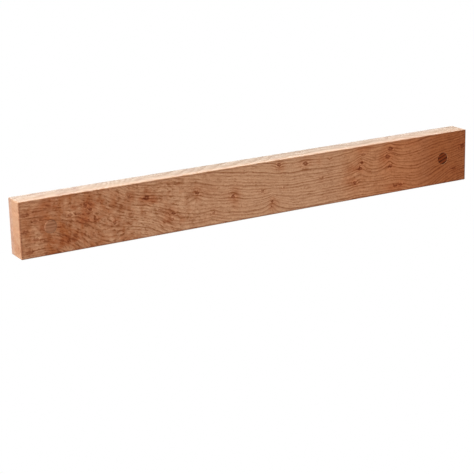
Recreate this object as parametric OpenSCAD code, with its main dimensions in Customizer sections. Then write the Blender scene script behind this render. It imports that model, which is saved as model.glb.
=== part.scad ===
// Wall-mounted magnetic knife rack. A solid hardwood bar has a row of disc magnets in blind pockets
// behind its front face, a steel keeper strip across their backs, a wood backer that closes the
// channel, and a counterbored screw hole near each end. The wall screws sit under push-fit plugs.
//
// Frame: X runs along the bar and +X is to the right. The knives hang on the face that looks toward
// -Y, the wall is the plane Y = 0, and Z is up. The origin is the middle of the wall face.

/* [Bar] */
// Length of the bar
bar_l = 420; // [400:1:600]
// Height of the bar
bar_h = 45; // [42:0.5:60]
// Thickness of the bar, from the knife face to the wall
bar_t = 19; // [17:0.1:25]
// Size of the chamfer that eases the edges of the knife face and of the ends
edge_ease = 0.6; // [0.2:0.1:1.5]
// Size of the chamfer along the four edges that meet the wall
wall_ease = 0.2; // [0.1:0.1:1]

/* [Magnets] */
// Number of disc magnets
magnet_count = 13; // [5:1:13]
// Diameter of a magnet
magnet_d = 19.05; // [15:0.05:19.5]
// Thickness of a magnet
magnet_t = 6.35; // [4:0.05:7]
// Wood left between a magnet and the knife face
skin_t = 2; // [1.2:0.1:3]
// Distance from a wall screw's axis to the nearest magnet's centre
magnet_margin = 34.5; // [32:0.5:40]

/* [Keeper and backer] */
// Height of the steel keeper strip
keeper_w = 25.4; // [22:0.1:30]
// Thickness of the steel keeper strip
keeper_t = 3.2; // [2:0.1:4]
// Radius that the router bit leaves in the corners of the back channel
channel_r = 6.35; // [3:0.05:8]

/* [Plugs and wall screws] */
// Distance from the bar's end to a wall screw's axis
screw_inset = 25; // [20:0.5:30]
// Diameter of a wood plug
plug_d = 10; // [9:0.1:12]
// Thickness of a wood plug
plug_t = 6.4; // [4:0.1:8]
// How far the left plug stands proud of the knife face
left_plug_proud = 0.25; // [0:0.05:0.5]
// How far the right plug is sunk below the knife face
right_plug_sunk = 0.15; // [0:0.05:0.3]
// Length of a wall screw under its head
screw_l = 38; // [30:1:60]
// Diameter over the screw's thread
thread_d = 4.2; // [3.5:0.1:4.5]
// Diameter of the screw's plain shank and thread root
core_d = 3.1; // [2.4:0.1:3.3]
// Diameter of the screw's pan head
head_d = 8.2; // [7:0.1:8.8]

/* [Hidden] */
$fn = 64;
overrun = 1;             // cutters run this far past the surface they break through

magnet_play = 0.225;     // radial room round a magnet in its pocket
keeper_play = 0.3;       // room above and below the keeper in the channel
backer_play = 0.05;      // glue line round the backer
plug_play = 0.05;        // radial room round a push-fit plug
plug_gap = 0.4;          // air between a plug and the screw head under it

small_ease = 0.3;        // chamfer on magnets, keeper and the mouths of the plug holes
plug_lead = 0.7;         // lead-in chamfer on a plug's inner end
plug_ease = 0.2;         // eased front edge of a plug

head_h = 2.9;            // height of the pan head
head_rise = 1.4;         // how much of that height is dome
drive_l = 4.4;           // span of the cross recess
drive_w = 1.1;           // width of each arm of the recess
drive_depth = 1.7;       // depth of the recess
thread_pitch = 2.4;
thread_start = 0.3;      // the first crest stands this far out of the wall face
thread_flank = 0.45;     // length of each flank, root to crest
thread_crest = 0.35;     // flat on the crest
tip_l = 6;               // length of the conical point

screw_x = bar_l / 2 - screw_inset;
magnet_run = 2 * (screw_x - magnet_margin);
magnet_pitch = magnet_run / (magnet_count - 1);

keeper_l = magnet_run + magnet_d + 1;
channel_l = keeper_l + 2 * channel_r + 3;
channel_w = keeper_w + 2 * keeper_play;
floor_y = -bar_t + skin_t + magnet_t;
backer_t = -floor_y - keeper_t;

hole_r = plug_d / 2 + plug_play;
hole_depth = plug_t + plug_gap + head_h;
clearance_r = thread_d / 2 + 0.3;
grip_l = bar_t - hole_depth;
first_crest = grip_l + thread_start;
ring_count = floor((screw_l - tip_l - first_crest) / thread_pitch);
dome_r = (pow(head_d / 2, 2) + pow(head_rise, 2)) / (2 * head_rise);

function magnet_name(n) = str("magnet_", n < 10 ? "0" : "", n);
function magnet_x(n) = -magnet_run / 2 + (n - 1) * magnet_pitch;

// Rectangle centred on the origin, its corners cut off at 45 degrees: by ease at -Y, by far_ease at +Y
module eased_rect(w, h, ease, far_ease) {
    x = w / 2;
    y = h / 2;
    polygon([
        [x - ease, -y], [x, -y + ease], [x, y - far_ease], [x - far_ease, y],
        [-x + far_ease, y], [-x, y - far_ease], [-x, -y + ease], [-x + ease, -y]
    ]);
}

// Block centred on the origin with all twelve edges chamfered: by far_ease round its +Y face, by ease elsewhere
module eased_block(l, t, h, ease, far_ease) {
    intersection() {
        linear_extrude(h, center = true) eased_rect(l, t, ease, far_ease);
        rotate([90, 0, 0]) linear_extrude(t, center = true) eased_rect(l, h, ease, ease);
        rotate([0, 90, 0]) linear_extrude(l, center = true) eased_rect(h, t, ease, far_ease);
    }
}

// Slab from y0 to y1 whose outline in XZ is a rectangle with round corners
module round_slab(l, w, r, y0, y1) {
    translate([0, y1, 0])
        rotate([90, 0, 0])
            linear_extrude(y1 - y0)
                union() {
                    square([l - 2 * r, w], center = true);
                    square([l, w - 2 * r], center = true);
                    for (sx = [-1, 1], sz = [-1, 1])
                        translate([sx * (l / 2 - r), sz * (w / 2 - r)]) circle(r);
                }
}

// Puts its children at a screw's place along the bar, at depth y, with their +Z toward the wall
module facing_wall(x, y) {
    translate([x, y, 0]) rotate([-90, 0, 0]) children();
}

// Everything cut for one wall screw: eased mouth, counterbore and clearance hole
module screw_hole(side) {
    facing_wall(side * screw_x, -bar_t) {
        translate([0, 0, -overrun]) cylinder(h = hole_depth + overrun, r = hole_r);
        cylinder(h = small_ease, r1 = hole_r + small_ease, r2 = hole_r);
        cylinder(h = bar_t + overrun, r = clearance_r);
    }
}

module magnet_pocket(n) {
    facing_wall(magnet_x(n), -bar_t + skin_t)
        cylinder(h = magnet_t + overrun, d = magnet_d + 2 * magnet_play);
}

// The hardwood bar, hollowed from the back
module bar() {
    color("peru")
        difference() {
            translate([0, -bar_t / 2, 0]) eased_block(bar_l, bar_t, bar_h, edge_ease, wall_ease);
            round_slab(channel_l, channel_w, channel_r, floor_y, overrun);
            for (n = [1 : magnet_count]) magnet_pocket(n);
            for (side = [-1, 1]) screw_hole(side);
        }
}

// One nickel-plated disc magnet, bottomed in its pocket
module magnet(n) {
    r = magnet_d / 2;
    color("gainsboro")
        facing_wall(magnet_x(n), -bar_t + skin_t)
            rotate_extrude()
                polygon([
                    [0, 0], [r - small_ease, 0], [r, small_ease], [r, magnet_t - small_ease],
                    [r - small_ease, magnet_t], [0, magnet_t]
                ]);
}

// Flat steel strip that bridges the backs of all the magnets
module keeper_strip() {
    color("slategray")
        translate([0, floor_y + keeper_t / 2, 0])
            eased_block(keeper_l, keeper_t, keeper_w, small_ease, small_ease);
}

// Wood strip glued into the channel over the keeper, flush with the wall face
module backer_strip() {
    color("burlywood")
        round_slab(
            channel_l - 2 * backer_play, channel_w - 2 * backer_play, channel_r - backer_play,
            -backer_t, 0
        );
}

// Domed head with a cross recess; its flat underside is at z = 0
module pan_head() {
    difference() {
        translate([0, 0, -head_h])
            intersection() {
                cylinder(h = head_h, d = head_d);
                translate([0, 0, dome_r]) sphere(dome_r);
            }
        for (turn = [0, 90])
            rotate([0, 0, turn])
                translate([-drive_l / 2, -drive_w / 2, -head_h - overrun])
                    cube([drive_l, drive_w, drive_depth + overrun]);
    }
}

// Plain shank, ringed thread and conical point, from z = 0 to z = screw_l
module threaded_shank() {
    core = core_d / 2;
    crest = thread_d / 2;
    rings = [
        for (i = [0 : ring_count - 1])
            let (z = first_crest + i * thread_pitch)
            each [
                [core, z - thread_flank], [crest, z],
                [crest, z + thread_crest], [core, z + thread_crest + thread_flank]
            ]
    ];
    rotate_extrude() polygon(concat([[0, 0], [core, 0]], rings, [[core, screw_l - tip_l], [0, screw_l]]));
}

// One wood screw; its head rests on the floor of the counterbore
module wall_screw(side) {
    color("silver")
        facing_wall(side * screw_x, -bar_t + hole_depth)
            union() {
                pan_head();
                threaded_shank();
            }
}

// One round plug; proud is how far its face stands out of the knife face
module plug(side, proud) {
    r = plug_d / 2;
    facing_wall(side * screw_x, -bar_t - proud)
        rotate_extrude()
            polygon([
                [0, 0], [r - plug_ease, 0], [r, plug_ease], [r, plug_t - plug_lead],
                [r - plug_lead, plug_t], [0, plug_t]
            ]);
}

module left_plug() { color("rosybrown") plug(-1, left_plug_proud); }

module right_plug() { color("saddlebrown") plug(1, -right_plug_sunk); }

bar();
for (n = [1 : magnet_count]) magnet(n);
keeper_strip();
backer_strip();
wall_screw(-1);  // left_wall_screw
wall_screw(1);  // right_wall_screw
left_plug();
right_plug();
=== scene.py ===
import math
from collections import namedtuple

import bmesh
import bpy
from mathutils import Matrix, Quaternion, Vector


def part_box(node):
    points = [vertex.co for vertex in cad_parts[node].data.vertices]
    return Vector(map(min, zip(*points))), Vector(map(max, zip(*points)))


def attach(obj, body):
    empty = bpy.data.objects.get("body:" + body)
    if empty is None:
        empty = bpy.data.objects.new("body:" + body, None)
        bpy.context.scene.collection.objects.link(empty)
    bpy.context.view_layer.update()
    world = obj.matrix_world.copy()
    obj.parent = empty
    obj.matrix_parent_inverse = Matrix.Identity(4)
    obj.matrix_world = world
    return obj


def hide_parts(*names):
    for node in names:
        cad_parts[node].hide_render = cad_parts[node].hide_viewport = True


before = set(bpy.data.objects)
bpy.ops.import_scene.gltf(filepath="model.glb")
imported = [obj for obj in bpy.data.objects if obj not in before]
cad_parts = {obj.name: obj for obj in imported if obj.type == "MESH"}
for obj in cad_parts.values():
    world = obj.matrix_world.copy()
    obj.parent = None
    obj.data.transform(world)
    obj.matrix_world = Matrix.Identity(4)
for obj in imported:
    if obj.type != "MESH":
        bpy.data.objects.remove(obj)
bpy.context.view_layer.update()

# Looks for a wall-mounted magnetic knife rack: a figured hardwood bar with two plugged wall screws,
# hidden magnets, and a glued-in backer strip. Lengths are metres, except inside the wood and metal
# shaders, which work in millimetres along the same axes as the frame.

MM = 0.001

BAR_LOW, BAR_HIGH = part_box("bar")
BAR_MIDDLE = (BAR_LOW + BAR_HIGH) / 2
FRONT_Y = BAR_LOW.y                             # the knife face
HALF_L = (BAR_HIGH.x - BAR_LOW.x) / 2 / MM      # half the bar's length, in shader units


# ---------------------------------------------------------------- shader arithmetic

class Wire:
    """A socket of a shader graph that takes part in plain arithmetic."""

    def __init__(self, tree, socket):
        self.tree = tree
        self.socket = socket

    def math(self, operation, *others, clamp=False):
        node = self.tree.nodes.new("ShaderNodeMath")
        node.operation = operation
        node.use_clamp = clamp
        for socket, value in zip(node.inputs, (self, *others)):
            plug_in(self.tree, value, socket)
        return Wire(self.tree, node.outputs[0])

    def __add__(self, other):
        return self.math("ADD", other)

    def __sub__(self, other):
        return self.math("SUBTRACT", other)

    def __mul__(self, other):
        return self.math("MULTIPLY", other)

    def __truediv__(self, other):
        return self.math("DIVIDE", other)

    def __rsub__(self, other):
        return self * -1 + other

    __radd__ = __add__
    __rmul__ = __mul__

    def sqrt(self):
        return self.math("SQRT")

    def exp(self):
        return self.math("EXPONENT")

    def fraction(self):
        return self.math("FRACT")

    def floor(self):
        return self.math("FLOOR")

    def absolute(self):
        return self.math("ABSOLUTE")

    def most(self, other):
        return self.math("MAXIMUM", other)

    def clamped(self):
        return self.math("ADD", 0.0, clamp=True)

    def part(self, axis):
        """One component, X, Y or Z, of a vector."""
        node = self.tree.nodes.new("ShaderNodeSeparateXYZ")
        plug_in(self.tree, self, node.inputs[0])
        return Wire(self.tree, node.outputs[axis])

    def rise(self, low, high, out_low=0.0, out_high=1.0):
        """Smooth step from out_low at low to out_high at high; where low is the greater, it falls instead."""
        node = self.tree.nodes.new("ShaderNodeMapRange")
        node.interpolation_type = "SMOOTHSTEP"
        for name, value in (("Value", self), ("From Min", low), ("From Max", high),
                            ("To Min", out_low), ("To Max", out_high)):
            plug_in(self.tree, value, node.inputs[name])
        return Wire(self.tree, node.outputs["Result"])

    def curve(self, points):
        """Reads the smooth curve through the points (this value, result)."""
        start, end = points[0][0], points[-1][0]
        low = min(result for _, result in points)
        high = max(result for _, result in points)
        scaled = [
            ((value - start) / (end - start), (result - low) / (high - low))
            for value, result in points
        ]
        node = self.tree.nodes.new("ShaderNodeFloatCurve")
        line = node.mapping.curves[0]
        line.points[0].location = scaled[0]
        line.points[1].location = scaled[-1]
        for place in scaled[1:-1]:
            line.points.new(*place)
        for point in line.points:
            point.handle_type = "AUTO_CLAMPED"
        node.mapping.update()
        plug_in(self.tree, (self - start) / (end - start), node.inputs["Value"])
        return Wire(self.tree, node.outputs[0]) * (high - low) + low


def plug_in(tree, value, socket):
    """Links a wire to a socket, or sets the socket to a plain value."""
    if isinstance(value, Wire):
        tree.links.new(value.socket, socket)
    else:
        socket.default_value = value


def noise(place, spot, detail=2.0, roughness=0.5, shift=0.0):
    """Fractal noise around zero, about -0.5 to 0.5, at a place in mm.

    Its spots are about as long as spot says, in mm along each axis. A shift, in mm along Y, sets it
    apart from other noise whose spots are alike.
    """
    x, y, z = place
    if shift:
        y = y + shift
    tree = x.tree
    point = tree.nodes.new("ShaderNodeCombineXYZ")
    for socket, value, length in zip(point.inputs, (x, y, z), spot):
        plug_in(tree, value / length, socket)
    node = tree.nodes.new("ShaderNodeTexNoise")
    tree.links.new(point.outputs[0], node.inputs["Vector"])
    node.inputs["Scale"].default_value = 1.0
    node.inputs["Detail"].default_value = detail
    node.inputs["Roughness"].default_value = roughness
    return Wire(tree, node.outputs[0]) - 0.5


def random_per_step(value):
    """One random number, 0 to 1, for each whole number."""
    node = value.tree.nodes.new("ShaderNodeTexWhiteNoise")
    node.noise_dimensions = "1D"
    plug_in(value.tree, value, node.inputs["W"])
    return Wire(value.tree, node.outputs["Value"])


def blend(factor, low, high, mode="MIX"):
    """Mixes two colours by factor, from low at 0 to high at 1."""
    node = factor.tree.nodes.new("ShaderNodeMix")
    node.data_type = "RGBA"
    node.blend_type = mode
    plug_in(factor.tree, factor, node.inputs["Factor"])
    for name, value in (("A", low), ("B", high)):
        socket = next(s for s in node.inputs if s.name == name and s.type == "RGBA")
        plug_in(factor.tree, value, socket)
    return Wire(factor.tree, next(s for s in node.outputs if s.type == "RGBA"))


def tinted(colour, *tints):
    """Multiplies a colour by each tint (amount, colour) in turn; an amount is held between 0 and 1."""
    for amount, tint in tints:
        colour = blend(amount.clamped(), colour, tint, "MULTIPLY")
    return colour


def rgb(red, green, blue):
    """A linear colour from the 0 to 255 values that a screen shows."""
    def linear(value):
        share = value / 255
        return share / 12.92 if share <= 0.04045 else ((share + 0.055) / 1.055) ** 2.4
    return (linear(red), linear(green), linear(blue), 1.0)


def new_material(name):
    """Returns the material, its tree, its Principled shader and the place in mm as x, y, z wires."""
    material = bpy.data.materials.new(name)
    material.use_nodes = True
    tree = material.node_tree
    shader = tree.nodes["Principled BSDF"]
    where = tree.nodes.new("ShaderNodeTexCoord")
    split = tree.nodes.new("ShaderNodeSeparateXYZ")
    tree.links.new(where.outputs["Object"], split.inputs[0])
    x, y, z = (Wire(tree, socket) * (1 / MM) for socket in split.outputs)
    return material, tree, shader, (x, y, z)


def facing(tree, axis):
    """How far a surface looks along X, Y or Z: from -1, straight against it, to 1, straight along it."""
    node = tree.nodes.new("ShaderNodeTexCoord")
    return Wire(tree, node.outputs["Normal"]).part(axis)


def bump(tree, shader, height, distance):
    """Turns a height wire, in units of distance, into the shader's normal."""
    node = tree.nodes.new("ShaderNodeBump")
    node.inputs["Distance"].default_value = distance
    plug_in(tree, height, node.inputs["Height"])
    tree.links.new(node.outputs[0], shader.inputs["Normal"])


# ---------------------------------------------------------------- wood

# What the wood's colour is multiplied by
LATEWOOD = (0.50, 0.36, 0.27, 1)          # the dark line that ends a ring
PALE_FIBRE_AND_GLEAM = (1.32, 1.48, 1.60, 1)        # a dry fibre between darker ones, and the painted highlight round a knot
EDGE_HIGHLIGHT = (1.45, 1.55, 1.60, 1)       # a painted highlight on an edge or a rim, where the light catches it

# Each wood's numbers, in mm: the tree's centre (the pith) in Y and across the grain, the ring width, how
# much the rings show, its light and dark colours, how far the whole grain wanders, and its rings' tint
Wood = namedtuple("Wood", "pith ring contrast light dark wander late", defaults=(LATEWOOD,))


def from_pith(wood, y, across):
    """The distance from the tree's centre."""
    deep, high = y - wood.pith[0], across - wood.pith[1]
    return (deep * deep + high * high).sqrt()


def satin(shader):
    """An oiled wood surface: warm and dull when seen square on, pale and glossy at a grazing angle."""
    shader.inputs["IOR"].default_value = 1.3
    shader.inputs["Specular Tint"].default_value = (0.8, 0.4, 0.25, 1)


def plain_wood(name, wood, slope=0.0, middle=Vector(), lit_rim_radius=0.0):
    """A small piece of straight-grained wood: slope tilts its grain, and middle is where its grain starts.

    A proud round piece gets its radius in mm as the last argument, and a painted highlight lightens its rim
    up and to the left.
    """
    material, tree, shader, (x, y, z) = new_material(name)
    x, z = x - middle.x / MM, z - middle.z / MM
    drift = noise((x, y, z), (45, 30, 20)) * wood.wander
    radius = from_pith(wood, y, z - x * slope + drift)

    # Each ring darkens slowly and ends faster, and no two are alike
    phase = radius / wood.ring + noise((x, 0.0, radius), (60, 1, 9)) * 1.5
    ramp = phase.fraction()
    ring = ramp.rise(0.2, 0.75) * ramp.rise(1.0, 0.8)
    strength = random_per_step(phase.floor()) * 0.6 + 0.4
    fibre = noise((x, y, radius), (9, 2 / 3, 2 / 3), detail=3, roughness=0.6)

    lines = ring * strength * wood.contrast + fibre.rise(0.0, 0.3) * 0.5
    colour = blend((fibre * 1.2 + 0.35).clamped(), wood.light, wood.dark)
    colour = tinted(colour, (lines, wood.late))
    # A painted highlight: the rim is made pale up and to the left, where the light catches it
    if lit_rim_radius:
        from_middle = (x * x + z * z).sqrt()
        upper_left = ((z - x) / lit_rim_radius).rise(-0.2, 1.2)
        edge_lit = from_middle.rise(lit_rim_radius - 0.9, lit_rim_radius - 0.3) * upper_left
        colour = tinted(colour, (edge_lit, EDGE_HIGHLIGHT))
    plug_in(tree, colour, shader.inputs["Base Color"])
    plug_in(tree, (fibre * 0.2 + 0.5).clamped(), shader.inputs["Roughness"])
    satin(shader)
    bump(tree, shader, fibre * 0.6 - ring * 0.3, 0.05 * MM)
    return material


BACKER_WOOD = Wood(
    pith=(40.0, 90.0), ring=2.8, contrast=0.6,
    light=rgb(180, 138, 104), dark=rgb(154, 106, 76), wander=2.0,
)
LEFT_PLUG_WOOD = Wood(
    pith=(30.0, -50.0), ring=2.0, contrast=0.8,
    light=rgb(165, 114, 84), dark=rgb(138, 90, 64), wander=0.5,
)
RIGHT_PLUG_WOOD = Wood(
    pith=(20.0, -60.0), ring=3.1, contrast=1.6,
    light=rgb(133, 60, 25), dark=rgb(94, 38, 15), wander=0.9, late=(0.21, 0.13, 0.09, 1),
)


# ---------------------------------------------------------------- the bar's figured wood

BAR_WOOD = Wood(
    pith=(30.0, -110.0), ring=2.45, contrast=0.8,
    light=rgb(187, 141, 108), dark=rgb(154, 91, 54), wander=3.0,
)

# What the bar's colour is multiplied by
KNOT_BROWN = (0.40, 0.20, 0.12, 1)        # the heart and rim of a pin knot
RED_STAIN = (0.84, 0.60, 0.47, 1)         # a redder patch, and the wood round a knot
WARM_WOOD = (1.13, 1.05, 0.93, 1)         # the wide faces right of the middle
LEFT_END = (0.84, 0.88, 0.93, 1)          # the left end alone, made greyer and less red
LEVEL_FACE = (0.84, 0.91, 0.87, 1)        # the top and the underside
BACK_SHEEN = (0.95, 1.06, 1.3, 1)          # a painted sheen that makes the wood paler and greyer toward the wall
TOP_FRONT_HIGHLIGHT = (1.22, 1.14, 1.1, 1)       # a painted highlight on the front of the top, with its edge
TOP_SHADE = (0.75, 0.67, 0.52, 1)         # the rest of the top, and the underside, away from the ends
OUTLINE_SHADE = (0.74, 0.70, 0.72, 1)       # painted shade round the knife face's outline

# Between which distances in mm each effect grows from nothing to full
BACK_SHEEN_DEPTH = (11, 16)                # behind the knife face
STRIP_DEPTH = (8.0, 4.0)                  # behind the knife face
STRIP_DROP = (1.2, 0.2)                   # below the top
EDGE_HIGHLIGHT_DEPTH = (1.8, 0.2)                 # behind the knife face
EDGE_HIGHLIGHT_DROP = (1.0, 0.1)                  # below the top
OUTLINE_SHADE_DEPTH = (0.6, 0.1)                 # behind the knife face
OUTLINE_SHADE_REACH = (-2.0, -0.7)               # past the face's outline, so below 0 inside it
COARSE_REACH = (180, 198)                 # right of the middle

# Curves along the bar, as (mm to the right of its middle, value). The grain lines' height in mm:
BAR_SWEEP = (
    (-HALF_L, 27), (-190, 26.5), (-170, 20), (-150, 12), (-127, 4.5), (-105, -2.5), (-77, -10),
    (-50, -14.5), (-27, -18), (0, -21.5), (20, -24), (34, -25.6), (80, -25.3), (100, -24.5),
    (115, -25), (135, -26), (152, -27), (165, -25.5), (180, -21.5), (192, -18), (HALF_L, -13.5),
)
# How much closer together than a ring's width the lines run, or, below 0, how much further apart:
BAR_FAN = (
    (-HALF_L, 0.2), (-190, 0.22), (-143, -0.22), (-108, 0.15), (-77, -0.15), (-40, 0), (140, 0),
    (160, -0.15), (205, 0.25), (HALF_L, 0.25),
)
# How strongly the lines show, and how much of a ring's width each one takes:
BAR_CONTRAST = (
    (-HALF_L, 0.5), (-150, 0.6), (-115, 0.85), (0, 0.9), (100, 1.1), (125, 1.12), (150, 1.08),
    (175, 1.1), (HALF_L, 1.35),
)
BAR_LINE = ((-HALF_L, 0.6), (0, 0.6), (60, 0.55), (110, 0.45), (HALF_L, 0.42))
# The wide faces' colour, from the light one at 0 to the dark one at 1, and their share of WARM_WOOD:
BAR_TONE = (
    (-HALF_L, 0.45), (-196, 0.46), (-184, 0.66), (-163, 0.6), (-125, 0.45), (-100, 0.15), (-75, 0.16),
    (-20, 0.03), (36, 0), (67, 0.13), (92, 0.32), (120, 0.44), (147, 0.54), (164, 0.76), (193, 1.0),
    (HALF_L, 1.0),
)
BAR_WARMTH = (
    (-HALF_L, 0), (55, 0), (90, 0.5), (118, 0.7), (142, 0.9), (165, 0.3), (190, 0.1), (HALF_L, 0),
)
# The narrow faces' share of TOP_SHADE:
BAR_SHADE = ((-HALF_L, 0), (-150, 0.15), (-92, 0.6), (0, 1), (90, 1), (150, 0.15), (HALF_L, 0))
# How blotchy the wood is:
BAR_MOTTLE = (
    (-HALF_L, 0.75), (-190, 0.9), (-160, 1.15), (-120, 1.0), (-77, 0.8), (-45, 0.3), (-20, 0.15),
    (60, 0.1), (95, 0.35), (130, 0.12), (165, 0.03), (200, 0.06), (HALF_L, 0.06),
)

# A pin knot: its place on the knife face in mm from the bar's middle, its radius, how far it is drawn
# out along the grain, how dark it is, and how far it lifts the grain lines that pass it
Knot = namedtuple("Knot", "along up radius stretch dark lift")

BAR_KNOTS = (
    # long eyes and dashes near the left end
    Knot(-205, 12, 1.15, 2.6, 0.75, 0.6), Knot(-205.5, -1.5, 1.05, 2.4, 0.75, 0.6),
    Knot(-197.5, 6, 0.6, 3.5, 0.65, 0), Knot(-192.5, -1, 0.6, 3, 0.5, 0),
    Knot(-197.5, -8.5, 0.8, 2.5, 0.65, 0.4), Knot(-202.5, -17, 0.8, 3.5, 0.65, 0.4),
    # a bird's-eye cluster right of the left plug
    Knot(-168.5, 6.5, 1.1, 1.4, 0.75, 0.8), Knot(-163.5, 6.5, 0.8, 1.6, 0.6, 0.4),
    Knot(-155.5, 11.5, 1, 1.3, 0.8, 1), Knot(-151.5, 8, 0.9, 1.2, 0.8, 1),
    Knot(-150.5, 12, 0.7, 1.2, 0.6, 0.6), Knot(-153.5, 5, 0.7, 1.6, 0.5, 0.4),
    Knot(-154.5, -0.5, 0.8, 2.2, 0.6, 0.5), Knot(-147.5, -0.5, 0.7, 2.2, 0.6, 0.5),
    Knot(-149.5, -12.5, 0.6, 2, 0.4, 0),
    # the stretch that the knives hide in use, and around it
    Knot(-131.5, -5.5, 1.1, 1.2, 0.7, 1.5), Knot(-118.5, 12.5, 0.9, 1.3, 0.6, 1),
    Knot(-103.5, 9.5, 1.5, 1.4, 1, 2.5), Knot(-92.5, -2.5, 1, 1, 0.6, 1.8),
    Knot(-80.5, -6.5, 0.9, 1.6, 0.9, 0.5), Knot(-81.5, -11, 0.8, 1.6, 0.8, 0.4),
    Knot(-58.5, 6.5, 1.1, 1.2, 0.8, 3.5), Knot(-44, -12.5, 0.9, 1.2, 0.7, 3),
    Knot(-26, -1.5, 1.2, 1.2, 1, 3.5),
    # the long calm middle
    Knot(2, -1.5, 0.9, 1.4, 0.5, 1), Knot(11, -11.5, 1.1, 0.9, 0.9, 5.5),
    Knot(10, -15.5, 0.8, 0.8, 0.8, 2), Knot(18, 18.5, 1.2, 1.3, 0.8, -1.5),
    Knot(43.5, 16, 1.3, 1.4, 1, 1.5), Knot(67.5, 16.5, 0.7, 1, 0.6, 0), Knot(59, 1, 0.8, 1.5, 0.5, 0),
    Knot(22, -1.5, 0.6, 1.5, 0.5, 0),
    # two columns of knots that pull the lines into cusps
    Knot(92.5, -8, 1.2, 1.1, 1, 1.5), Knot(98, 3.5, 1, 1.5, 1, 3.5), Knot(100, 8.5, 1.2, 0.9, 1, 5),
    Knot(101, 15.5, 0.9, 1.8, 0.6, 1.5), Knot(126.5, 10, 1.5, 1.3, 0.8, 4),
    Knot(129, 16.5, 1.3, 1.7, 0.9, 3.5), Knot(129, 1.5, 1.2, 1.4, 0.9, 4.5),
    Knot(140, -16, 1, 1.2, 0.9, 1), Knot(134, -17, 0.7, 2.5, 0.6, 0),
    # the right end
    Knot(206, 8.5, 1.4, 1, 0.8, 1), Knot(206.5, -14.5, 1.1, 1.2, 0.5, 1),
    Knot(197.5, -11.5, 0.8, 1.5, 0.5, 0),
)

# Where the wood is redder or browner than the rest: place, reach along and up, and strength
Patch = namedtuple("Patch", "along up reach_along reach_up strength")

BAR_PATCHES = (
    Patch(148, 0, 36, 60, 0.42), Patch(-187.5, 17.5, 9, 5, 0.9), Patch(-191.5, 4.5, 5, 8, 0.7),
    Patch(-158.5, 1.5, 9, 4, 1.2), Patch(-171.5, -12.5, 18, 4, 0.9), Patch(-152.5, 10.5, 7, 5, 1),
    Patch(-99.5, 7.5, 7, 3, 1), Patch(-84.5, -9.5, 6, 6, 0.6), Patch(-23, -2.5, 4, 12, 0.5),
    Patch(13, -15.5, 5, 6, 0.5), Patch(20, 15.5, 3, 5, 0.5), Patch(57, 16.5, 3, 5, 0.6),
    Patch(93, 4.5, 7, 4, 0.7), Patch(86, -5.5, 8, 4, 0.5), Patch(101, 20.5, 8, 3, 0.6),
    Patch(124, 8.5, 8, 5, 0.4), Patch(150, 18.5, 14, 3, 0.4), Patch(134, -17.5, 10, 3, 0.5),
    Patch(196.5, -11.5, 14, 8, 0.3), Patch(201.5, 12.5, 8, 8, 0.3),
)


def knot_group():
    """Node group: what one knot does to a point of the knife face.

    lift raises the grain lines in a cusp over the knot, bulge swells them round it, spot is its dark heart
    and rim, halo is the stained wood round it, and gleam is a paler ring between them, a painted highlight.
    """
    tree = bpy.data.node_groups.new("pin_knot", "ShaderNodeTree")
    for name in ("X", "Z", *Knot._fields):
        tree.interface.new_socket(name, in_out="INPUT", socket_type="NodeSocketFloat")
    for name in ("lift", "bulge", "spot", "halo", "gleam"):
        tree.interface.new_socket(name, in_out="OUTPUT", socket_type="NodeSocketFloat")
    source = tree.nodes.new("NodeGroupInput")
    sink = tree.nodes.new("NodeGroupOutput")
    inputs = 2 + len(Knot._fields)
    x, z, along, up, radius, stretch, dark, lift = (Wire(tree, s) for s in source.outputs[:inputs])

    cusp_along, cusp_up_squared = 6.5, 90.0       # how far the cusp reaches, in mm and square mm
    dx, dz = x - along, z - up
    cusp = ((dx * dx + 1.0).sqrt() * (-1 / cusp_along)).exp() * (dz * dz * (-1 / cusp_up_squared)).exp()
    reach = ((dx / stretch) * (dx / stretch) + dz * dz).sqrt() / radius
    bulge = (reach * reach * -0.35).exp()
    spot = reach.rise(1.7, 0.8) * reach.rise(0.1, 0.9, 0.4, 1.0)
    halo = (reach * reach * -0.07).exp()
    gleam = reach.rise(1.1, 1.6) * reach.rise(2.6, 1.8)
    for socket, value in zip(sink.inputs, (lift * cusp, bulge, spot * dark, halo * dark, gleam * dark)):
        plug_in(tree, value, socket)
    return tree


def knots_at(tree, x, z, knots):
    """At a point, the sum of the knots' lift and of their bulge, and the strongest spot, halo and gleam."""
    group = knot_group()
    total = None
    for knot in knots:
        node = tree.nodes.new("ShaderNodeGroup")
        node.node_tree = group
        plug_in(tree, x, node.inputs["X"])
        plug_in(tree, z, node.inputs["Z"])
        for name, value in zip(Knot._fields, knot):
            node.inputs[name].default_value = value
        one = [Wire(tree, socket) for socket in node.outputs]
        if total is None:
            total = one
        else:
            sums = [total[0] + one[0], total[1] + one[1]]
            total = sums + [strongest.most(other) for strongest, other in zip(total[2:], one[2:])]
    return total


def patches_at(x, z, patches):
    """Sums soft round patches at a point."""
    total = None
    for patch in patches:
        dx = (x - patch.along) / patch.reach_along
        dz = (z - patch.up) / patch.reach_up
        one = ((dx * dx + dz * dz) * -1).exp() * patch.strength
        total = one if total is None else total + one
    return total


Faces = namedtuple("Faces", "narrow level left_end from_front from_top strip shaded")


def bar_faces(tree, x, y, z):
    """Where on the bar's surface a point is.

    narrow is 1 on the top, the underside and the ends, level is 1 on the top and the underside, and
    left_end is 1 on the left end. from_front and from_top are in mm. strip is the share of the painted
    highlight on the front of the top, and shaded is the share of TOP_SHADE.
    """
    narrow = 1.0 - facing(tree, "Y").absolute()
    level = facing(tree, "Z").absolute()
    left_end = (facing(tree, "X") * -1).clamped()
    from_front = y - BAR_LOW.y / MM
    from_top = BAR_HIGH.z / MM - z
    # A painted highlight along the front of the top
    strip = from_top.rise(*STRIP_DROP) * from_front.rise(*STRIP_DEPTH)
    shaded = narrow * x.curve(BAR_SHADE) * (1.0 - strip)
    return Faces(narrow, level, left_end, from_front, from_top, strip, shaded)


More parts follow.
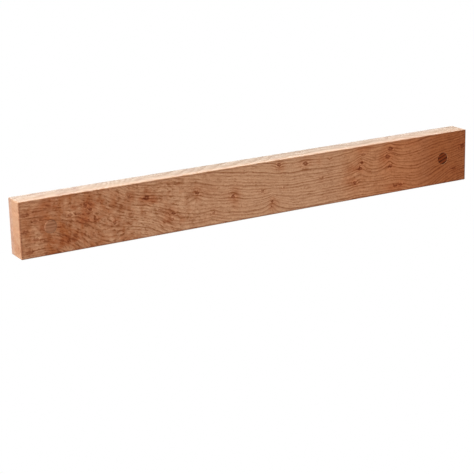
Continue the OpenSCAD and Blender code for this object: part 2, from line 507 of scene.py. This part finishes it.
def bar_rings(wood, x, y, z, lift, bulge):
    """The bar's rings: the distance from the pith, each dark line's profile, and how strong the line is."""
    # The lines sink from the left end to well past the middle, and climb again near the right end
    drift = noise((x, y, z), (75, 60, 26)) * wood.wander * 2
    ripple = noise((x, y, z), (10, 9, 5)) * 1.6
    across = z + z * x.curve(BAR_FAN) - x.curve(BAR_SWEEP) - lift + drift + ripple
    radius = from_pith(wood, y, across) + bulge * wood.ring * 0.8

    # Each ring darkens slowly and ends sharply, and no two are alike
    phase = radius / wood.ring + noise((x, 0.0, radius), (150, 1, 9)) * 2.6
    ramp = phase.fraction()
    line = ramp.rise(0.85 - x.curve(BAR_LINE), 0.86) * ramp.rise(1.0, 0.9)
    strength = random_per_step(phase.floor()) * 0.55 + 0.4
    broken = noise((x, y, radius), (13, 8, 3.5)) * 1.5 + 1.0
    return radius, line, strength * broken


def bar_ground(wood, faces, x, cloud, band, mottle):
    """The bar's colour under its grain, which changes along the bar and from face to face."""
    wide = 1.0 - faces.narrow
    cloud_strength, band_strength = mottle * 0.5 + 0.18, mottle * 2.5 + 0.08
    tone = x.curve(BAR_TONE) * wide + cloud * cloud_strength + band * band_strength
    # Among these tints, a painted sheen pales the wood toward the wall, and a painted highlight lightens the
    # front of the top
    return tinted(
        blend(tone.clamped(), wood.light, wood.dark),
        (x.curve(BAR_WARMTH) * wide, WARM_WOOD),
        (faces.left_end, LEFT_END),
        (faces.level, LEVEL_FACE),
        (faces.from_front.rise(*BACK_SHEEN_DEPTH), BACK_SHEEN),
        (faces.strip, TOP_FRONT_HIGHLIGHT),
        (faces.shaded, TOP_SHADE),
    )


def bar_edges(faces, x, y, z):
    """The painted highlight along the top's front edge, and the painted shade round the knife face's outline.
    """
    uneven = noise((x, y, z), (6, 1, 1)) + 0.9
    # A painted highlight along the top's front edge, where the light catches it
    near_edge = faces.from_front.rise(*EDGE_HIGHLIGHT_DEPTH) * faces.from_top.rise(*EDGE_HIGHLIGHT_DROP)
    edge_lit = near_edge * faces.narrow * uneven * 0.5
    # Painted shade round the knife face's outline
    past_outline = (x.absolute() - HALF_L).most(z.absolute() - BAR_HIGH.z / MM)
    outline_shade = past_outline.rise(*OUTLINE_SHADE_REACH) * faces.from_front.rise(*OUTLINE_SHADE_DEPTH)
    return edge_lit, outline_shade


def bar_wood(name, wood):
    """The bar's figured wood: sweeping grain lines, pin knots and redder patches, with a painted highlight
    along the top's front edge and painted shade round the knife face's outline.
    """
    material, tree, shader, (x, y, z) = new_material(name)
    faces = bar_faces(tree, x, y, z)
    ragged_x = x + noise((x, y, z), (2.0, 2.2, 1.4), detail=3, roughness=0.6) * 4.0
    ragged_z = z + noise((x, y, z), (2.2, 2.2, 1.3), detail=3, roughness=0.6, shift=88) * 3.0
    lift = knots_at(tree, x, z, BAR_KNOTS)[0]
    _, bulge, spot, halo, gleam = knots_at(tree, ragged_x, ragged_z, BAR_KNOTS)
    radius, line, strength = bar_rings(wood, x, y, z, lift, bulge)

    # Fibres, grit, pores and flecks follow the grain; clouds, bands and blushes mottle the colour
    mottle = x.curve(BAR_MOTTLE)
    fibre = noise((x, y, radius), (7, 4 / 3, 4 / 3), detail=4, roughness=0.7)
    grit = noise((x, y, radius), (1.6, 1.1, 1.0), roughness=0.7)
    pores = noise((x, y, radius), (3.2, 1 / 2.9, 1 / 2.9)).rise(0.14, 0.3)
    flecks = noise((x, y, radius), (3.6, 1.5, 1.3), detail=3, roughness=0.6, shift=30).rise(0.04, 0.16)
    cloud = noise((x, y, radius), (30, 22, 8), detail=3, roughness=0.6)
    band = noise((x, y, z), (10, 20, 16), detail=3, roughness=0.6)
    blush = noise((x, y, z), (7, 6, 3.5), shift=420).rise(0.04, 0.2)
    red = patches_at(ragged_x + cloud * 10, ragged_z + cloud * 6, BAR_PATCHES) + blush * mottle * 0.6

    # The grit shows more by the right end, and all figure shows less on the narrow faces
    coarse = x.rise(*COARSE_REACH) * 0.6
    calm = 1.0 - faces.narrow * 0.55 - faces.level * 0.35
    dark_fibre = fibre.rise(0.0, 0.3) * (mottle * 0.5 + 0.75)
    pale_fibre = (fibre * -1).rise(0.0, 0.3) * (mottle * 0.5 + 0.6)
    dark_grit = grit.rise(0.03, 0.3) * (coarse + 0.8)
    pale_grit = (grit * -1).rise(0.03, 0.3) * (coarse + 0.5)
    grain = line * strength * (halo * 0.8 + wood.contrast) * x.curve(BAR_CONTRAST)
    dark = (grain + flecks * mottle * 0.7 + pores * 0.15 + dark_fibre + dark_grit) * calm
    # pale takes in gleam, the painted highlight round each knot
    pale = (pale_fibre + pale_grit + gleam * 0.5) * (1.0 - faces.level * 0.6)

    # A painted highlight on the top's front edge and painted shade round the knife face's outline
    edge_lit, outline_shade = bar_edges(faces, x, y, z)
    colour = tinted(
        bar_ground(wood, faces, x, cloud, band, mottle),
        (red * 0.8, RED_STAIN),
        (halo * 0.6, RED_STAIN),
        (dark, wood.late),
        (pale, PALE_FIBRE_AND_GLEAM),
        (spot * 0.85, KNOT_BROWN),
        (edge_lit, EDGE_HIGHLIGHT),
        (outline_shade, OUTLINE_SHADE),
    )
    relief = (fibre * 0.5 - pores * 0.8 - line * 0.3 - spot * 0.6) * (calm + 0.05)
    plug_in(tree, colour, shader.inputs["Base Color"])
    plug_in(tree, (fibre * 0.25 + line * 0.06 + 0.45).clamped(), shader.inputs["Roughness"])
    satin(shader)
    plug_in(tree, 0.5 - faces.shaded * 0.065, shader.inputs["Specular IOR Level"])
    bump(tree, shader, relief, 0.06 * MM)
    return material


# ---------------------------------------------------------------- metals

def metal(name, colour, roughness, grain):
    """A bare metal with blotches and fine scratches along X, about grain mm long."""
    material, tree, shader, (x, y, z) = new_material(name)
    scratches = noise((x, y, z), (grain, 0.5, 0.5), detail=3, roughness=0.6)
    blotch = noise((x, y, z), (6, 6, 6), detail=3, roughness=0.6)
    darker = (*(channel * 0.8 for channel in colour[:3]), 1.0)
    plug_in(tree, blend((blotch + 0.5).clamped(), colour, darker), shader.inputs["Base Color"])
    plug_in(tree, (scratches * 0.3 + blotch * 0.2 + roughness).clamped(), shader.inputs["Roughness"])
    shader.inputs["Metallic"].default_value = 1.0
    bump(tree, shader, scratches, 0.01 * MM)
    return material


# ---------------------------------------------------------------- dress the CAD nodes

def dress(node, material, bevel=0.0):
    """Gives a CAD node its material and rounds its sharp edges by bevel, in metres."""
    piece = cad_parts[node]
    piece.data.materials.clear()
    piece.data.materials.append(material)
    if bevel:
        rounding = piece.modifiers.new("rounding", "BEVEL")
        rounding.width = bevel
        rounding.segments = 3
        rounding.limit_method = "ANGLE"
        rounding.angle_limit = math.radians(30)


# ---------------------------------------------------------------- turned pieces

def turned(name, centre, rings, segments, material):
    """A smooth solid turned about a line along Y through centre; a ring is (radius, y) at each angle."""
    mesh = bmesh.new()
    loops = []
    for radius_at, y_at in rings:
        loop = []
        for step in range(segments):
            angle = 2 * math.pi * step / segments
            radius = radius_at(angle)
            x = centre.x + radius * math.cos(angle)
            z = centre.z + radius * math.sin(angle)
            loop.append(mesh.verts.new((x, y_at(angle), z)))
        loops.append(loop)
    for low, high in zip(loops, loops[1:]):
        for step in range(segments):
            after = (step + 1) % segments
            mesh.faces.new((low[step], low[after], high[after], high[step]))
    mesh.faces.new(list(reversed(loops[0])))
    mesh.faces.new(loops[-1])
    bmesh.ops.recalc_face_normals(mesh, faces=mesh.faces[:])
    data = bpy.data.meshes.new(name)
    mesh.to_mesh(data)
    mesh.free()
    data.materials.append(material)
    data.shade_smooth()
    piece = bpy.data.objects.new(name, data)
    bpy.context.scene.collection.objects.link(piece)
    return piece


def steady(value):
    """The same value at every angle."""
    return lambda angle: value


PLUG_CROWN = 0.05 * MM        # how far the middle of a plug's face rises above its rim
PLUG_EASE = 0.45 * MM         # radius of its front edge
PLUG_LEAD = 0.7 * MM          # chamfer on its inner end


def make_plug(side, wood, slope, is_proud):
    """A face-grain plug: barely crowned face, eased front edge and a long lead chamfer at the back."""
    low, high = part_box(side + "_plug")
    centre = (low + high) / 2
    radius = (high.x - low.x) / 2
    lit_rim_radius = radius / MM if is_proud else 0.0
    material = plain_wood(side + "_plug_cherry", wood, slope, centre, lit_rim_radius)
    flat_radius = radius - PLUG_EASE
    face_steps, edge_steps = 8, 6
    outline = []
    for step in range(1, face_steps + 1):
        r = flat_radius * step / face_steps
        outline.append((r, low.y + PLUG_CROWN * (r / radius) ** 2))
    for step in range(1, edge_steps + 1):
        turn = math.pi / 2 * step / edge_steps
        y = low.y + PLUG_CROWN + PLUG_EASE * (1 - math.cos(turn))
        outline.append((flat_radius + PLUG_EASE * math.sin(turn), y))
    outline.append((radius, high.y - PLUG_LEAD))
    outline.append((radius - PLUG_LEAD, high.y))
    outline.append((radius / 4, high.y))
    rings = [(steady(r), steady(y)) for r, y in outline]
    plug = turned(side + "_plug_turned", centre, rings, 72, material)
    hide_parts(side + "_plug")
    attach(plug, side + "_plug")


# The wall screw's sizes are the CAD's, apart from the lean of the recess's walls
HEAD_HEIGHT = 2.9 * MM
DOME_HEIGHT = 1.4 * MM        # how much of the head's height is dome
RECESS_SPAN = 4.4 * MM        # from tip to tip of the cross recess
RECESS_WIDTH = 1.1 * MM
RECESS_DEPTH = 1.7 * MM
RECESS_WALL = 0.22 * MM       # how far each wall of the recess leans over its depth
CORE_RADIUS = 1.55 * MM       # radius of the neck and of the thread's root
CREST_RADIUS = 2.1 * MM
THREAD_PITCH = 2.4 * MM
THREAD_START = 0.3 * MM       # the thread starts this far behind the wall face
POINT_LENGTH = 6.0 * MM


def cross_recess(radius, top):
    """How deep one ring of the head lies at each angle: at top, or below it in the tapered cross recess."""
    arm = RECESS_SPAN / 2

    def depth_at(angle):
        across, up = abs(radius * math.cos(angle)), abs(radius * math.sin(angle))
        along, aside = max(across, up), min(across, up)
        half_width = RECESS_WIDTH / 2 * (1.15 - 0.15 * along / arm)
        inside = min((half_width - aside) / RECESS_WALL, (arm - along) / (2.5 * RECESS_WALL), 1)
        return top + RECESS_DEPTH * max(0, inside) * (1 - 0.45 * along / arm)
    return depth_at


def screw_head(name, centre, radius, front_y, material):
    """A pan head with a domed face, its flat underside against the wood."""
    dome_steps = 34
    roundness = 0.96          # the dome is an ellipse's arc; at 1 it would end square to the face
    underside_ease, side_ease = 0.3 * MM, 0.2 * MM
    seat = front_y + HEAD_HEIGHT
    rings = []
    for step in range(1, dome_steps + 1):
        share = step / dome_steps
        fall = (1 - math.sqrt(1 - roundness * share ** 2)) / (1 - math.sqrt(1 - roundness))
        rings.append((steady(radius * share), cross_recess(radius * share, front_y + DOME_HEIGHT * fall)))
    rings.append((steady(radius), steady(seat - underside_ease)))
    rings.append((steady(radius - side_ease), steady(seat)))
    rings.append((steady(CORE_RADIUS), steady(seat)))
    return turned(name, centre, rings, 144, material)


def thread_round(y, core, height):
    """The shank's radius at each angle, at a place y along it: one helical ridge round a core."""
    half_crest, flank_width = 0.08, 0.19          # shares of the pitch

    def radius_at(angle):
        phase = (y / THREAD_PITCH - angle / (2 * math.pi)) % 1
        down_flank = (abs(phase - 0.5) - half_crest) / flank_width
        return core + height * (1 - min(max(down_flank, 0), 1))
    return radius_at


def screw_shank(name, centre, seat, end, material):
    """A plain neck that starts inside the head, a helical thread that fades in, and a gimlet point."""
    overlap, run_in, steps_per_turn = 0.5 * MM, 0.6 * THREAD_PITCH, 16
    rings = [(steady(CORE_RADIUS), steady(seat - overlap))]
    count = math.ceil((end - THREAD_START) / THREAD_PITCH * steps_per_turn)
    for step in range(count + 1):
        y = THREAD_START + (end - THREAD_START) * step / count
        taper = min(max((end - y) / POINT_LENGTH, 0.03), 1) ** 0.8
        fade = min((y - THREAD_START) / run_in, 1) * min(1, 1.6 * taper) * min(1, 1.2 * taper)
        height = (CREST_RADIUS - CORE_RADIUS) * fade
        rings.append((thread_round(y, CORE_RADIUS * taper, height), steady(y)))
    return turned(name, centre, rings, 48, material)


def make_screw(side, material):
    node = side + "_wall_screw"
    low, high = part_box(node)
    centre = (low + high) / 2
    head = screw_head(node + "_head", centre, (high.x - low.x) / 2, low.y, material)
    shank = screw_shank(node + "_shank", centre, low.y + HEAD_HEIGHT, high.y, material)
    for piece in (head, shank):
        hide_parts(node)
        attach(piece, "rack")


NICKEL = metal("nickel", (0.72, 0.70, 0.66, 1), roughness=0.25, grain=4.0)
MILL_STEEL = metal("mill_steel", (0.42, 0.42, 0.43, 1), roughness=0.45, grain=12.0)
ZINC = metal("zinc", (0.66, 0.67, 0.68, 1), roughness=0.3, grain=3.0)

dress("bar", bar_wood("figured_cherry", BAR_WOOD), 0.15 * MM)
dress("backer_strip", plain_wood("backer_cherry", BACKER_WOOD, 0.02), 0.2 * MM)
dress("keeper_strip", MILL_STEEL)
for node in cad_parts:
    if node.startswith("magnet_"):
        dress(node, NICKEL)
make_plug("left", LEFT_PLUG_WOOD, slope=-0.05, is_proud=True)
make_plug("right", RIGHT_PLUG_WOOD, slope=0.35, is_proud=False)
make_screw("left", ZINC)
make_screw("right", ZINC)


# ---------------------------------------------------------------- stage, light and camera

def camera_ray(tree):
    """1 where the camera looks at the backdrop itself, 0 where the backdrop lights the rack."""
    return Wire(tree, tree.nodes.new("ShaderNodeLightPath").outputs["Is Camera Ray"])


def make_floor(half_size, drop):
    """A floor below the bar: it sends back half of the light on it, and is plain white to the camera."""
    corners = [(-half_size, -half_size, 0), (half_size, -half_size, 0),
               (half_size, half_size, 0), (-half_size, half_size, 0)]
    mesh = bpy.data.meshes.new("floor")
    mesh.from_pydata(corners, [], [(0, 1, 2, 3)])
    floor = bpy.data.objects.new("floor", mesh)
    floor.location.z = BAR_LOW.z - drop
    bpy.context.scene.collection.objects.link(floor)
    material, tree, shader, _ = new_material("pale_floor")
    seen = camera_ray(tree)
    grey, black = (0.5, 0.5, 0.5, 1), (0, 0, 0, 1)
    plug_in(tree, blend(seen, grey, black), shader.inputs["Base Color"])
    shader.inputs["Roughness"].default_value = 0.9
    shader.inputs["Specular IOR Level"].default_value = 0.0
    shader.inputs["Emission Color"].default_value = (1, 1, 1, 1)
    plug_in(tree, seen, shader.inputs["Emission Strength"])
    mesh.materials.append(material)


def make_world(light, seen):
    """An even white sky: light is its strength on the rack, and seen is its strength to the camera."""
    world = bpy.data.worlds.new("studio")
    bpy.context.scene.world = world
    world.use_nodes = True
    tree = world.node_tree
    background = tree.nodes["Background"]
    plug_in(tree, camera_ray(tree) * (seen - light) + light, background.inputs["Strength"])
    background.inputs["Color"].default_value = (1, 1, 1, 1)


def make_panel(name, radiance, place, size, colour=(1, 1, 1)):
    """A soft rectangular light at a place off the bar's middle, which it faces; it isn't seen itself."""
    lamp = bpy.data.lights.new(name, "AREA")
    lamp.color = colour
    lamp.shape = "RECTANGLE"
    lamp.size, lamp.size_y = size
    lamp.energy = radiance * math.pi * size[0] * size[1]
    panel = bpy.data.objects.new(name, lamp)
    panel.location = BAR_MIDDLE + Vector(place)
    panel.rotation_euler = (-Vector(place)).to_track_quat("-Z", "Y").to_euler()
    panel.visible_camera = False
    bpy.context.scene.collection.objects.link(panel)


def make_camera(lens, azimuth, elevation, roll, distance, aim):
    """A camera in front of the knife face: it aims off the face's middle, and its angles are in degrees."""
    camera = bpy.data.objects.new("camera", bpy.data.cameras.new("camera"))
    camera.data.lens = lens
    camera.data.sensor_width = 36
    turn, climb = math.radians(azimuth), math.radians(elevation)
    back = Vector((math.sin(turn) * math.cos(climb), -math.cos(turn) * math.cos(climb), math.sin(climb)))
    camera.location = Vector((0, FRONT_Y, 0)) + Vector(aim) + back * distance
    camera.rotation_mode = "QUATERNION"
    level_view = (-back).to_track_quat("-Z", "Y")
    camera.rotation_quaternion = level_view @ Quaternion((0, 0, 1), math.radians(roll))
    bpy.context.scene.collection.objects.link(camera)
    bpy.context.scene.camera = camera


make_floor(half_size=6.0, drop=0.6)
make_world(light=0.45, seen=1.0)
make_panel("back_panel", radiance=6.2, place=(0.6, 3.2, 0.95), size=(4.0, 1.6), colour=(1.0, 0.97, 0.90))
make_panel("left_panel", radiance=6.4, place=(-2.4, -0.15, 0.7), size=(2.0, 2.2), colour=(1.0, 0.98, 0.95))
make_panel("front_panel", radiance=3.2, place=(-0.3, -2.5, 1.2), size=(2.0, 1.5))
make_camera(
    lens=115, azimuth=-29.68, elevation=16.63, roll=-1.43,
    distance=1.2303, aim=(-0.02320, 0, -0.03586),
)
bpy.context.scene.view_settings.view_transform = "Standard"
